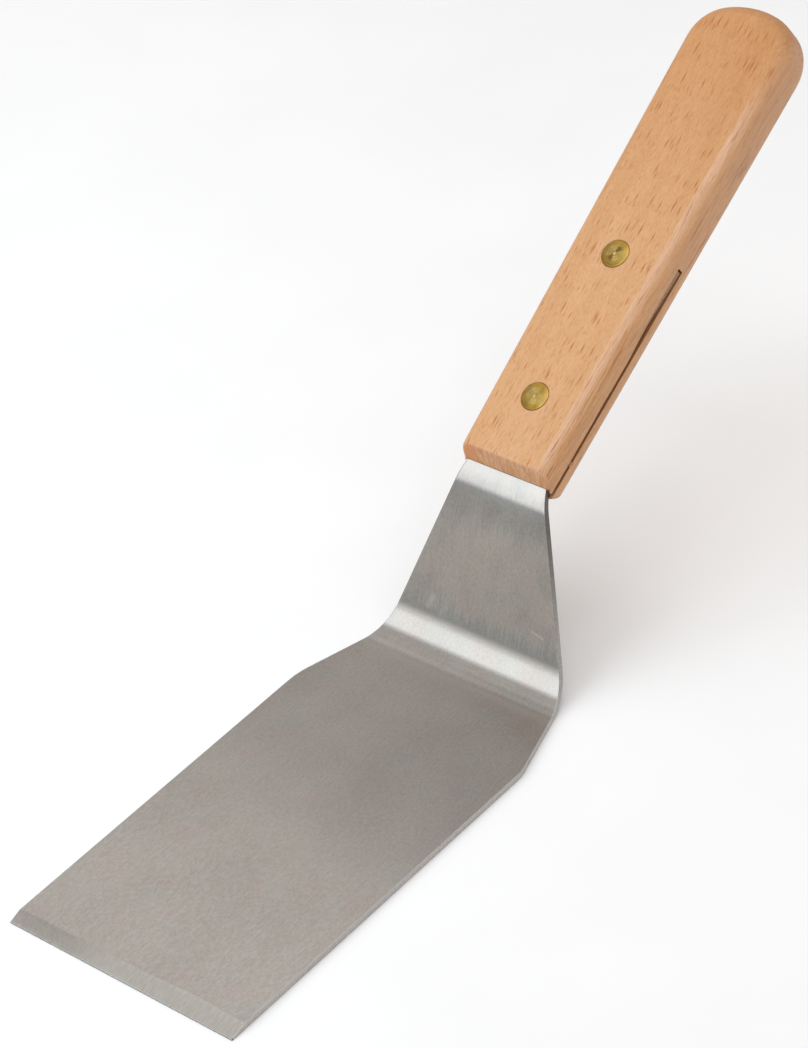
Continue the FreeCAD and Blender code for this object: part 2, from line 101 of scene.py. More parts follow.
def placed(name, data, place=Matrix.Identity(4)):
    """An object in the scene. A bmesh, which is in millimetres, is made into a mesh for it."""
    if isinstance(data, bmesh.types.BMesh):
        bm, data = data, bpy.data.meshes.new(name)
        bm.to_mesh(data)
        bm.free()
        data.transform(Matrix.Scale(MM, 4))
    made = bpy.data.objects.new(name, data)
    bpy.context.scene.collection.objects.link(made)
    made.matrix_world = place
    return made


def new_piece(name, node, bm, materials, place=Matrix.Identity(4)):
    """A piece that stands for a CAD node, from a closed bmesh."""
    bmesh.ops.recalc_face_normals(bm, faces=bm.faces)
    piece = placed(name, bm, place)
    for material in materials:
        piece.data.materials.append(material)
    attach(piece, "root")
    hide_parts(node)
    return piece


def cut(piece, cutters):
    """Takes the cutters, which are bmeshes in millimetres, out of a piece's mesh."""
    for bm in cutters:
        bmesh.ops.recalc_face_normals(bm, faces=bm.faces)
        cutter = placed("cutter", bm, piece.matrix_world)
        difference = piece.modifiers.new("cut", "BOOLEAN")
        difference.operation = "DIFFERENCE"
        difference.solver = "EXACT"
        difference.object = cutter
        bpy.context.view_layer.update()
        evaluated = piece.evaluated_get(bpy.context.evaluated_depsgraph_get())
        made = bpy.data.meshes.new_from_object(evaluated)
        piece.modifiers.clear()
        piece.data = made
        bpy.data.objects.remove(cutter)


def shade(piece, sharp_angle):
    """Smooth shading that keeps real edges sharp and flat faces flat."""
    piece.data.shade_smooth()
    piece.data.set_sharp_from_angle(angle=radians(sharp_angle))
    weighted = piece.modifiers.new("flat faces stay flat", "WEIGHTED_NORMAL")
    weighted.keep_sharp = True


def lathe(profile, segments, centre=(0.0, 0.0)):
    """A closed turned solid from (radius, height) points that start and end on the axis."""
    bm = bmesh.new()
    rings = []
    for radius, height in profile:
        if radius == 0:
            rings.append([bm.verts.new((centre[0], centre[1], height))])
            continue
        turns = [2 * pi * step / segments for step in range(segments)]
        places = [(centre[0] + radius * cos(turn), centre[1] + radius * sin(turn))
                  for turn in turns]
        rings.append([bm.verts.new((x, y, height)) for x, y in places])
    for ring, following in zip(rings, rings[1:]):
        for step in range(segments):
            after = (step + 1) % segments
            corners = [ring[step % len(ring)], ring[after % len(ring)]]
            corners += [following[after % len(following)], following[step % len(following)]]
            bm.faces.new(list(dict.fromkeys(corners)))
    return bm


def steps(start, stop, count):
    """Evenly spaced values from start to stop, both included."""
    return [start + (stop - start) * index / count for index in range(count + 1)]


def strip(bm, row, following):
    """A row of faces between two rows of vertices."""
    for step in range(len(row) - 1):
        bm.faces.new((row[step], row[step + 1], following[step + 1], following[step]))


# ---------------- the bent sheet


def up_from(slope):
    """The direction straight out of the top of a stretch with this slope."""
    return Vector((-sin(slope), 0, cos(slope)))


def along(slope):
    """The direction from front to rear of a stretch with this slope."""
    return Vector((cos(slope), 0, sin(slope)))


def sheet_zones():
    """The sheet's zones from front to rear: where each starts on the flat sheet and in space, its
    slope there, and its radius (None if flat, negative if it bends down)."""
    plan = [
        (BEND_DISTANCE - LOWER_REACH, 0.0, None),
        (LOWER_BEND * NECK_SLOPE, 0.0, LOWER_BEND),
        (NECK_LENGTH - LOWER_REACH - UPPER_REACH, NECK_SLOPE, None),
        (UPPER_BEND * (NECK_SLOPE - HANDLE_SLOPE), NECK_SLOPE, -UPPER_BEND),
        (HANDLE_SETBACK + KERF_DEPTH - TANG_GAP - UPPER_REACH, HANDLE_SLOPE, None),
    ]
    zones, start, point = [], 0.0, Vector((FRONT_X, 0, SHEET / 2))
    for length, slope, radius in plan:
        zone = {"from": start, "to": start + length}
        zone.update(point=point, slope=slope, radius=radius)
        zones.append(zone)
        start += length
        point = in_zone(zone, start, 0, 0)
    return zones


def in_zone(zone, flat, across, height):
    """Where a point of the flat sheet goes once bent, if it lies in this zone."""
    run, slope = flat - zone["from"], zone["slope"]
    if zone["radius"] is None:
        middle = zone["point"] + along(slope) * run
    else:
        centre = zone["point"] + up_from(slope) * zone["radius"]
        slope += run / zone["radius"]
        middle = centre - up_from(slope) * zone["radius"]
    return middle + up_from(slope) * height + Vector((0, across, 0))


ZONES = sheet_zones()
TANG_START, TANG_END = ZONES[-1]["from"], ZONES[-1]["to"]


def on_sheet(flat, across, height):
    """Where a point of the flat sheet goes once bent; height is above the sheet's middle."""
    zone = next((z for z in ZONES if flat < z["to"]), ZONES[-1])
    return in_zone(zone, flat, across, height)


def half_width(flat, side):
    """The sheet's half width at a distance from its front edge; side is 1 at +Y and -1 at -Y."""
    shoulder, radius = LEFT_SHOULDER, LEFT_SHOULDER_RADIUS
    if side < 0:
        shoulder, radius = RIGHT_SHOULDER, RIGHT_SHOULDER_RADIUS
    if flat > TANG_START:
        share = (flat - TANG_START) / (TANG_END - TANG_START)
        return HALF_NECK + (HALF_TANG_END - HALF_NECK) * share
    taper = atan2(HALF_BLADE - HALF_NECK, TANG_START - shoulder)
    arc_start = shoulder - radius * tan(taper / 2)
    if flat <= arc_start:
        return HALF_BLADE
    turned = min(flat - arc_start, radius * sin(taper))
    on_arc = HALF_BLADE - radius + sqrt(radius**2 - turned**2)
    return on_arc - (flat - arc_start - turned) * tan(taper)


def grind_width(across):
    """The ground bevel is wider towards -Y, and its line wanders as a hand-held grind does, in
    long waves and short ones (waves per mm, height in mm, and a place in the noise)."""
    wander = 0.0
    for waves, height, place in ((0.07, 0.5, (3.1, 0.4)), (0.4, 0.12, (7.7, 1.9))):
        wander += noise.noise(Vector((across * waves, *place))) * height
    return GRIND - GRIND_SKEW * across / HALF_BLADE + wander


def sheet_row(bm, layers, row, columns):
    """One closed ring of vertices round the sheet's section."""
    shift_share = max(0.0, min(row / GRIND, 1 - (row - GRIND) / (3 * GRIND)))
    end_share = max(0.0, (row - TANG_START) / (TANG_END - TANG_START))
    left, right = half_width(row, 1), half_width(row, -1)
    thickness = FRONT_EDGE + (SHEET - FRONT_EDGE) * min(1.0, row / GRIND)
    upper, bottom = thickness - SHEET / 2, -SHEET / 2
    round_edge = min(SHEARED_EDGE_RADIUS, 0.4 * thickness)
    if row == 0:
        upper, bottom, round_edge = upper - EASED_TOP, bottom + EASED_BOTTOM, EASED_SIDES
    ring = []

    def add(across, height, unrolled):
        """A vertex; unrolled is its place across the sheet with the section opened out flat."""
        flat = row + (grind_width(across) - GRIND) * shift_share
        saw_arc = SAW_RADIUS - sqrt(SAW_RADIUS**2 - across**2)
        flat -= saw_arc * end_share
        vertex = bm.verts.new(on_sheet(flat, across, height))
        vertex[layers["flat"]] = Vector((flat * MM, unrolled * MM, 0))
        on_bevel = row < GRIND + BEHIND_GRIND / 2 and height > 0.1 - SHEET / 2
        vertex[layers["ground"]] = 1.0 if on_bevel else 0.0
        ring.append(vertex)

    for across in steps(-right + round_edge, left - round_edge, columns):
        add(across, upper, across)
    quarter = steps(0, pi / 2, EDGE_STEPS)
    for side, half in ((1, left), (-1, right)):
        arc = [(round_edge * (1 - sin(turn)), round_edge * (1 - cos(turn)))
               for turn in quarter]
        edge = [(half - inset, upper - drop) for inset, drop in arc[1:]]
        edge += [(half - inset, bottom + rise) for rise, inset in arc[:-1]]
        if side < 0:
            edge.reverse()
        for place, height in edge:
            add(side * place, height, side * (half + upper - height))
        if side > 0:
            for across in steps(left - round_edge, -right + round_edge, columns):
                add(across, bottom, across)
    return ring


def sheet_mesh():
    """The blade, neck and tang as rings of vertices from the front edge to the tang's end."""
    columns, bevel_rows, blade_rows, rear_rows = 44, 4, 66, (30, 22, 18, 24)
    bm = bmesh.new()
    layers = {
        "flat": bm.verts.layers.float_vector.new("flat"),
        "ground": bm.verts.layers.float.new("ground"),
    }
    rows = steps(0, GRIND, bevel_rows) + [GRIND + BEHIND_GRIND]
    rows += steps(GRIND, ZONES[0]["to"], blade_rows)[1:]
    for zone, count in zip(ZONES[1:], rear_rows):
        rows += steps(zone["from"], zone["to"], count)[1:]
    rows.insert(1, EASED_LENGTH)
    rings = [sheet_row(bm, layers, row, columns) for row in rows]
    size = len(rings[0])
    edge = 2 * EDGE_STEPS + 1
    edge_steps = set(range(columns, columns + edge)) | set(range(2 * columns + edge, size))
    for ring, following in zip(rings, rings[1:]):
        for step in range(size):
            after = (step + 1) % size
            face = bm.faces.new((ring[step], ring[after], following[after], following[step]))
            face.material_index = 1 if step in edge_steps else 0
    for ring in (rings[0], rings[-1]):
        bm.faces.new(ring).material_index = 1
    return bm


# ---------------- the handle


def handle_place():
    """The handle's frame: X to the butt, Z out of its top face, origin at the upper jaw's face."""
    origin = on_sheet(TANG_START, 0, -(KERF - SHEET) / 2)
    origin += along(HANDLE_SLOPE) * (HANDLE_SETBACK - UPPER_REACH)
    return Matrix.Translation(origin * MM) @ Matrix.Rotation(-HANDLE_SLOPE, 4, "Y")


def corner_centre(radius):
    """The middle of the butt's corner arc, which meets the side and the end's arc smoothly."""
    rise = HALF_BUTT - radius
    reach = sqrt((BUTT_END - radius) ** 2 - rise**2)
    return HANDLE_LENGTH - BUTT_END + reach, rise


def butt_spine(radius, share):
    """A point of one side's spine, LONG_ROUND inside the butt's outline, with its outward
    direction, for the side at +Y: the corner's arc up to a half share and then the end's."""
    centre_x, rise = corner_centre(radius)
    end_centre = HANDLE_LENGTH - BUTT_END
    meet = atan2(rise, centre_x - end_centre)
    if share <= 0.5:
        angle = pi / 2 + (meet - pi / 2) * share * 2
        out = Vector((cos(angle), sin(angle), 0))
        return Vector((centre_x, rise, 0)) + out * (radius - LONG_ROUND), out
    angle = meet * (2 - 2 * share)
    out = Vector((cos(angle), sin(angle), 0))
    return Vector((end_centre, 0, 0)) + out * (BUTT_END - LONG_ROUND), out


def side_profile():
    """Down one side of the section: (out from the spine, height, outward direction). The cutter
    that rounds the long edges leaves a slight crease where it meets the top and bottom."""
    turns = steps(CUTTER_TILT, pi / 2, 8)
    drop = CUTTER_RADIUS * cos(CUTTER_TILT)
    rounding = []
    for turn in turns:
        out = LONG_ROUND - CUTTER_RADIUS * (1 - sin(turn))
        height = HALF_THICK - drop + CUTTER_RADIUS * cos(turn)
        rounding.append((out, height, (sin(turn), cos(turn))))
    lip = -KERF / 2 - LOWER_JAW_LIP
    wall = [(LONG_ROUND, level, (1.0, 0.0)) for level in (KERF / 4, -KERF / 4, lip)]
    below = [(out, -height, (facing[0], -facing[1])) for out, height, facing in reversed(rounding)]
    return rounding + wall + below


def jaw_front(height):
    """How far along the handle its front face is at this height above the kerf's middle."""
    if height >= 0:
        return JAW_SLOPE * height / HALF_THICK
    lip = KERF / 2 + LOWER_JAW_LIP
    slope = JAW_SLOPE / (HALF_THICK - lip)
    return -LOWER_JAW_OVERHANG + max(0.0, -height - lip) * slope


def handle_ring(bm, left, right, columns, turn=None):
    """A closed ring round the handle's section from a spine point and direction on each side. For
    a ring on the eased rim of the jaws, turn goes from 0 on the section to a right angle on the
    front face."""
    profile = side_profile()
    ring = []

    def add(side, out, height, facing):
        spine, outward = side
        if turn is None:
            ring.append(bm.verts.new(spine + outward * out + Vector((0, 0, height))))
            return
        easing = TOP_EASING + (SIDE_EASING - TOP_EASING) * facing[0] ** 2
        if height < 0:
            easing = LOWER_EASING
        inset = easing * (1 - cos(turn))
        place = spine + outward * (out - facing[0] * inset)
        height -= facing[1] * inset
        x = jaw_front(height) + easing * (1 - sin(turn))
        ring.append(bm.verts.new((x, place.y, height)))

    def add_flat(first, last, height, facing):
        edge = profile[0][0]
        for share in steps(0, 1, columns):
            spine = first[0].lerp(last[0], share)
            outward = (first[1] * (1 - share) + last[1] * share) * edge
            add((spine + outward, outward), 0.0, height, facing)

    add_flat(right, left, HALF_THICK, (0.0, 1.0))
    for out, height, facing in profile[1:-1]:
        add(left, out, height, facing)
    add_flat(left, right, -HALF_THICK, (0.0, -1.0))
    for out, height, facing in reversed(profile[1:-1]):
        add(right, out, height, facing)
    return ring


def close_front(bm, front, columns):
    """Fills the front ring with a face for each jaw and two strips between them, over the kerf."""
    middle = columns + 1 + len(side_profile()) - 2
    left_side = front[columns:middle + 1]
    right_side = [front[0], *reversed(front[middle + columns + 1:]), front[middle + columns]]
    upper = next(i for i, v in enumerate(left_side) if v.co.z < KERF / 2)
    upper_loop = front[:columns] + left_side[:upper + 1] + right_side[upper:0:-1]
    lower_loop = left_side[upper + 2:-1] + front[middle:middle + columns + 1]
    lower_loop += right_side[-2:upper + 1:-1]
    bm.faces.new(upper_loop)
    for level in (upper, upper + 1):
        pair = (left_side[level], right_side[level], right_side[level + 1], left_side[level + 1])
        bm.faces.new(pair)
    bm.faces.new(lower_loop)


def handle_mesh():
    """The rounded blank with its sloped and eased jaws, before it is kerfed and drilled."""
    columns, first_row, side_rows, butt_rows, rim_rows = 12, 6.0, 32, 30, 5
    bm = bmesh.new()
    last_straight = min(corner_centre(BUTT_LEFT)[0], corner_centre(BUTT_RIGHT)[0])

    def straight(x):
        share = (x + LOWER_JAW_OVERHANG) / last_straight
        out = HALF_FRONT + (HALF_BUTT - HALF_FRONT) * share - LONG_ROUND
        return [(Vector((x, side * out, 0)), Vector((0, side, 0))) for side in (1, -1)]

    stations = [straight(x) for x in steps(first_row, last_straight, side_rows)[:-1]]
    for share in steps(0, 1, butt_rows):
        left = butt_spine(BUTT_LEFT, share)
        place, out = butt_spine(BUTT_RIGHT, share)
        mirror = Vector((1, -1, 1))
        stations.append((left, (place * mirror, out * mirror)))
    turns = steps(pi / 2, 0, rim_rows)
    rings = [handle_ring(bm, *straight(0), columns, turn) for turn in turns]
    rings += [handle_ring(bm, left, right, columns) for left, right in stations]
    for ring, following in zip(rings, rings[1:]):
        strip(bm, ring + ring[:1], following + following[:1])
    close_front(bm, rings[0], columns)
    bmesh.ops.remove_doubles(bm, verts=bm.verts, dist=0.002)
    bmesh.ops.dissolve_degenerate(bm, edges=bm.edges, dist=0.0005)
    # the quads behind the jaws' faces are twisted, and the kerf's cut is closed only in flat faces
    twisted = [f for f in bm.faces if len(f.verts) == 4 and f.calc_center_median().x < first_row]
    bmesh.ops.triangulate(bm, faces=twisted)
    return bm


def ease(value, low, high):
    """0 below low, 1 above high, and smooth between."""
    share = max(0.0, min(1.0, (value - low) / (high - low)))
    return share * share * (3 - 2 * share)


def kerf_cutter():
    """The sawn kerf, which ends on the saw's arc. The riveted jaws pinch it beyond the tang."""
    margin, edge_band, edge_steps, rows = 3.0, 6.0, 22, 50
    pinch_starts, pinch_full = 0.15, 0.9
    tang_from = TANG_START - UPPER_REACH + HANDLE_SETBACK
    outer = HALF_BUTT + margin
    side_band = steps(outer - margin - edge_band, outer, edge_steps)
    acrosses = [-y for y in reversed(side_band)] + side_band
    bm = bmesh.new()
    tops, bottoms = [], []
    for share in steps(0, 1, rows):
        top_row, bottom_row = [], []
        for across in acrosses:
            end = KERF_DEPTH - SAW_RADIUS + sqrt(SAW_RADIUS**2 - across**2)
            x = -margin + (end + margin) * share
            beyond = abs(across) - half_width(min(TANG_END, tang_from + max(x, 0.0)), 1)
            pinch = PINCH * ease(beyond, pinch_starts, pinch_full)
            pinch *= 1 - ease(x, PINCH_FADES, PINCH_ENDS)
            top_row.append(bm.verts.new((x, across, KERF / 2 - pinch)))
            bottom_row.append(bm.verts.new((x, across, -KERF / 2)))
        tops.append(top_row)
        bottoms.append(bottom_row)
    for grid in (tops, bottoms):
        for row, following in zip(grid, grid[1:]):
            strip(bm, row, following)
    for side in (0, -1):
        strip(bm, [row[side] for row in tops], [row[side] for row in bottoms])
    for end in (0, -1):
        strip(bm, tops[end], bottoms[end])
    return bm


def rivet_cutter(distance):
    """A shank hole with a seat at each end, its rim slightly crushed open."""
    seat, rim, margin = HALF_THICK - HEAD_HEIGHT, 0.12, 1.0
    half = [
        (SHANK_HOLE, seat),
        (SEAT_RADIUS, seat),
        (SEAT_RADIUS, HALF_THICK - rim),
        (SEAT_RADIUS + rim, HALF_THICK),
        (SEAT_RADIUS + rim, HALF_THICK + margin),
        (0, HALF_THICK + margin),
    ]
    return lathe([(r, -z) for r, z in reversed(half)] + half, 64, (distance, 0))


def chip_cutter(place, size):
    """A small splintered hollow."""
    bm = bmesh.new()
    bmesh.ops.create_icosphere(bm, subdivisions=3, radius=1)
    for vertex in bm.verts:
        vertex.co *= 1 + 0.25 * noise.noise(vertex.co * 1.7 + Vector((4, 1, 9)))
        vertex.co = vertex.co * Vector(size) + Vector(place)
    return bm


# ---------------- the rivets


def head_face(radius, ring_depth, ring_pitch, nub):
    """Height of a turned head's face above its rim: a dome, rings and a nub in the middle."""
    calm_middle, nub_radius = 0.6, 0.35
    dome = CROWN * (1 - (radius / HEAD_RADIUS) ** 2)
    rings = ring_depth * min(1.0, radius / calm_middle) * cos(2 * pi * radius / ring_pitch)
    return dome + rings + nub * exp(-((radius / nub_radius) ** 2))


def rivet_mesh(half, ring_depth, ring_pitch, nub):
    """A male half (head and post) or a female half (head and tube), head up, in the rivet's
    frame."""
    face_steps, rim_steps, segments = 60, 4, 96
    seat, edge = HALF_THICK - HEAD_HEIGHT, HEAD_RADIUS - HEAD_RIM
    face = []
    for radius in steps(0, edge, face_steps):
        face.append((radius, HALF_THICK + head_face(radius, ring_depth, ring_pitch, nub)))
    top = face[-1][1]
    for turn in steps(0, pi / 2, rim_steps)[1:]:
        face.append((edge + HEAD_RIM * sin(turn), top - HEAD_RIM * (1 - cos(turn))))
    if half == "male":
        shank = [(HEAD_RADIUS, seat), (POST_RADIUS, seat), (POST_RADIUS, -seat), (0, -seat)]
    else:
        tube_end, bore_end = -seat + 0.4, seat + 0.2
        shank = [(HEAD_RADIUS, seat), (TUBE_RADIUS, seat), (TUBE_RADIUS, tube_end)]
        shank += [(POST_RADIUS, tube_end), (POST_RADIUS, bore_end), (0, bore_end)]
    return lathe(face + shank, segments)


# ---------------- materials


def new_node(tree, kind, **settings):
    """Adds a shader node."""
    made = tree.nodes.new("ShaderNode" + kind)
    for key, value in settings.items():
        setattr(made, key, value)
    return made


def node(kind, inputs, **settings):
    """Adds a shader node whose inputs are constants and other nodes' outputs, at least one."""
    tree = next(v.id_data for v in inputs.values() if isinstance(v, bpy.types.NodeSocket))
    made = new_node(tree, kind, **settings)
    for key, value in inputs.items():
        if isinstance(value, bpy.types.NodeSocket):
            tree.links.new(value, made.inputs[key])
        else:
            made.inputs[key].default_value = value
    return made


def calc(operation, first, second=0.0):
    """One step of arithmetic."""
    return node("Math", {0: first, 1: second}, operation=operation).outputs[0]


def times(first, *others):
    """Several values multiplied together."""
    for other in others:
        first = calc("MULTIPLY", first, other)
    return first


def parts(vector):
    """A vector's three coordinates."""
    return node("SeparateXYZ", {0: vector}).outputs


def ramp(value, low, high, to_low=0.0, to_high=1.0):
    """Takes value smoothly from low..high to to_low..to_high, and no further."""
    spans = {"Value": value, "From Min": low, "From Max": high, "To Min": to_low, "To Max": to_high}
    return node("MapRange", spans, interpolation_type="SMOOTHSTEP").outputs[0]


def mixed(share, first, second, kind="MIX"):
    """Two colours mixed, or the second laid over the first in another way."""
    inputs = {0: share, 6: first, 7: second}
    return node("Mix", inputs, data_type="RGBA", blend_type=kind).outputs[2]


def fade(distance, low, high, *span):
    """ramp() for a distance, with low and high in millimetres."""
    return ramp(distance, low * MM, high * MM, *span)


def stretched(vector, scale):
    """Coordinates in metres scaled to features per millimetre along each axis."""
    inputs = {0: vector, 1: [value / MM for value in scale]}
    return node("VectorMath", inputs, operation="MULTIPLY").outputs[0]


def grainy(vector, scale, detail=2.0, roughness=0.5):
    """Noise with so many features per millimetre along each axis."""
    inputs = {"Vector": stretched(vector, scale), "Scale": 1.0, "Detail": detail}
    inputs["Roughness"] = roughness
    return node("TexNoise", inputs).outputs[0]


def new_material(name):
    """A material with its node tree and its shader node."""
    material = bpy.data.materials.new(name)
    material.use_nodes = True
    return material, material.node_tree, material.node_tree.nodes["Principled BSDF"]


def metal(tree, shader, drawn_out, **direction):
    """Makes a shader a metal with highlights drawn out by a tangent in some direction."""
    shader.inputs["Metallic"].default_value = 1.0
    shader.inputs["Anisotropic"].default_value = drawn_out
    tangent = new_node(tree, "Tangent", **direction)
    tree.links.new(tangent.outputs[0], shader.inputs["Tangent"])


def rgb(red, green, blue, gain=STUDIO_GAIN):
    """A colour given as the eye sees it, from 0 to 255, as the shader's linear one. It is darkened
    by the studio's gain."""
    def linear(value):
        value /= 255
        value = value / 12.92 if value <= 0.04045 else ((value + 0.055) / 1.055) ** 2.4
        return value / gain
    return (linear(red), linear(green), linear(blue), 1.0)


def tinted(colour, red, green, blue):
    """A colour multiplied by another given from 0 to 255."""
    return mixed(1.0, colour, rgb(red, green, blue, 1.0), "MULTIPLY")


def toned(share, colour, red, green, blue):
    """A colour tinted as far as share says."""
    return mixed(share, colour, tinted(colour, red, green, blue))


def surface(material, colour, rough, relief, strength, depth):
    """Links a material's colour, roughness and relief; depth is the relief's, in millimetres."""
    tree = material.node_tree
    shader = tree.nodes["Principled BSDF"]
    bump = node("Bump", {"Height": relief, "Strength": strength, "Distance": depth * MM})
    tree.links.new(colour, shader.inputs["Base Color"])
    tree.links.new(rough, shader.inputs["Roughness"])
    tree.links.new(bump.outputs[0], shader.inputs["Normal"])
    return material


def worn_line(length, across, start, end, width, raggedness):
    """A ragged scuffed line on the flat sheet, from one point of it to another, in millimetres."""
    run, rise = end[0] - start[0], end[1] - start[1]
    reach = hypot(run, rise)
    along_x, along_y = run / reach, rise / reach
    from_x = calc("SUBTRACT", length, start[0] * MM)
    from_y = calc("SUBTRACT", across, start[1] * MM)
    down = calc("ADD", times(from_x, along_x), times(from_y, along_y))
    off = calc("SUBTRACT", times(from_x, along_y), times(from_y, along_x))
    wander = times(calc("SUBTRACT", raggedness, 0.5), width * MM)
    off = calc("ABSOLUTE", calc("ADD", off, wander))
    return times(
        fade(off, width, 0.15 * width),
        fade(down, 0.0, 0.2 * reach),
        fade(down, reach, 0.7 * reach),
        ramp(raggedness, 0.3, 0.6, 0.4, 1.0),
    )


def plain_steel(flat, lines, mottle):
    """The sheet's grey: a mottle, a finer speckle, lines along the sheet and faint clouds."""
    speckle = grainy(flat, (2.4, 3.2, 1), 2.0, 0.6)
    cloud = grainy(flat, (0.04, 0.05, 1), 3.0)
    tint = grainy(flat, (0.09, 0.12, 1), 1.0)
    grey = mixed(ramp(mottle, 0.3, 0.7), rgb(184, 182, 180), rgb(201, 199, 197))
    grey = toned(ramp(speckle, 0.35, 0.65), grey, 240, 239, 237)
    grey = mixed(ramp(lines, 0.35, 0.7, 0, 0.35), grey, rgb(204, 202, 200))
    grey = toned(ramp(cloud, 0.35, 0.65), grey, 248, 248, 248)
    warmer, cooler = tinted(grey, 255, 252, 251), tinted(grey, 253, 255, 254)
    return mixed(ramp(tint, 0.35, 0.65), warmer, cooler)


def scuffed(colour, flat, length):
    """Small bright and dull scuffs, which fade towards the blade's rear."""
    strength = fade(length, 95.0, 25.0, 0.2, 1.0)
    scuffs = grainy(flat, (0.42, 0.7, 1), 4.0, 0.75)
    bright = times(strength, ramp(scuffs, 0.50, 0.62, 0.0, 0.24))
    dull = times(strength, ramp(scuffs, 0.50, 0.38, 0.0, 0.6))
    colour = mixed(bright, colour, rgb(210, 208, 206))
    return toned(dull, colour, 246, 246, 246)


def neck_tones_and_painted_shade(colour, flat, length):
    """The neck's tones: warmer than the blade, with bluish smudges, and painted shade in a band
    with a ragged edge beside each bend."""
    start, end = ZONES[2]["from"], ZONES[2]["to"]
    ragged = grainy(flat, (0.10, 1.1, 1), 3.0, 0.65)
    spot = calc("ADD", length, times(calc("SUBTRACT", ragged, 0.5), 13.0 * MM))
    low_band = times(fade(length, start - 0.5, start + 1.5), fade(spot, start + 6, start + 1))
    high_band = times(fade(spot, end - 12, end - 4), fade(length, end + 1.5, end))
    on_neck = fade(length, start, start + 8)
    smears = grainy(flat, (0.10, 0.13, 1), 3.0)
    smudge = times(on_neck, ramp(smears, 0.45, 0.65, 0.0, 0.5))
    warm = times(on_neck, fade(length, end + 1, end - 3))
    # painted shade: the neck is darkened in a band beside each bend's highlight
    painted_band_shade = times(calc("MAXIMUM", low_band, high_band), 0.76)
    colour = toned(warm, colour, 252, 247, 242)
    colour = toned(smudge, colour, 230, 237, 241)
    return toned(painted_band_shade, colour, 222, 229, 232)


def painted_bend_light(colour, length, across):
    """Painted light round the bends: painted shade on the blade's rear, most of all to the right,
    narrow bands of painted shade and painted highlight across the lower bend, and a painted
    highlight on the upper bend."""
    to_right = fade(across, 28.0, -28.0)
    neck_to = ZONES[2]["to"]

    def band(*spans):
        """1 in a band across the sheet that rises over the first two distances and falls over the
        last two, in mm past the lower bend's start."""
        rise_from, rise_to, fall_from, fall_to = (ZONES[1]["from"] + span for span in spans)
        return times(fade(length, rise_from, rise_to), fade(length, fall_to, fall_from))

    # painted shade: the blade's rear, more to the right, the lower bend's start and a narrow band
    # in it are darkened
    rear = times(band(-73.0, -37.0, -3.0, 0.8), ramp(to_right, 0, 1, 0.25, 0.9))
    start = times(band(-0.2, 1.2, 3.0, 4.6), ramp(to_right, 0, 1, 0.5, 1.0))
    easing = times(band(-5.0, -0.5, 0.0, 1.2), 0.15)
    # painted highlight: a pale band at the lower highlight's edge and a pale upper bend
    painted_highlight_band = times(band(12.6, 13.4, 13.7, 14.9), 0.36)
    rubbed_patches_and_painted_highlight = fade(length, neck_to + 2.0, neck_to + 5.0, 0.0, 0.3)
    colour = toned(rear, colour, 236, 236, 237)
    colour = mixed(easing, colour, rgb(206, 203, 199))
    colour = toned(start, colour, 212, 212, 212)
    colour = toned(band(5.6, 6.3, 6.9, 7.8), colour, 230, 230, 230)
    colour = mixed(painted_highlight_band, colour, rgb(244, 242, 240))
    return mixed(rubbed_patches_and_painted_highlight, colour, rgb(208, 207, 205))


def steel_material():
    """Satin rolled sheet: fine lines along it, a faint mottle and scuffs, bands of painted shade on
    the neck beside both bends, painted shade and highlight across the lower bend and on the upper
    one, and a ground front edge."""
    material, tree, shader = new_material("satin_steel")
    flat = new_node(tree, "Attribute", attribute_name="flat").outputs["Vector"]
    ground = new_node(tree, "Attribute", attribute_name="ground").outputs["Fac"]
    length, across = parts(flat)[:2]
    lines = grainy(flat, (0.16, 3.6, 1), 3.0, 0.6)
    mottle = grainy(flat, (0.9, 1.5, 1), 4.0, 0.7)
    marks = grainy(flat, (0.35, 1.6, 1), 4.0, 0.7)
    colour = plain_steel(flat, lines, mottle)
    colour = scuffed(colour, flat, length)
    colour = neck_tones_and_painted_shade(colour, flat, length)
    colour = painted_bend_light(colour, length, across)
    for start, end, width, strength in WEAR_MARKS:
        mark = worn_line(length, across, start, end, width, marks)
        colour = mixed(times(mark, strength), colour, rgb(226, 225, 222))

    # the ground edge, which shows less to the left
    ground_tone = ramp(marks, 0.35, 0.65)
    ground_colour = mixed(ground_tone, rgb(200, 201, 198), rgb(216, 217, 214))
    seen = fade(across, HALF_BLADE * 0.65, HALF_BLADE * 0.1, 0.1, 1.0)
    colour = mixed(times(ground, seen), colour, ground_colour)

    rough = ramp(lines, 0.25, 0.75, 0.33, 0.37)
    rough = calc("ADD", rough, ramp(mottle, 0.3, 0.7, -0.02, 0.02))
    metal(tree, shader, 0.8, direction_type="UV_MAP", uv_map="sheet_lines")
    relief = calc("ADD", times(lines, 0.5), times(mottle, 0.32))
    return surface(material, colour, rough, relief, 0.25, 0.04)


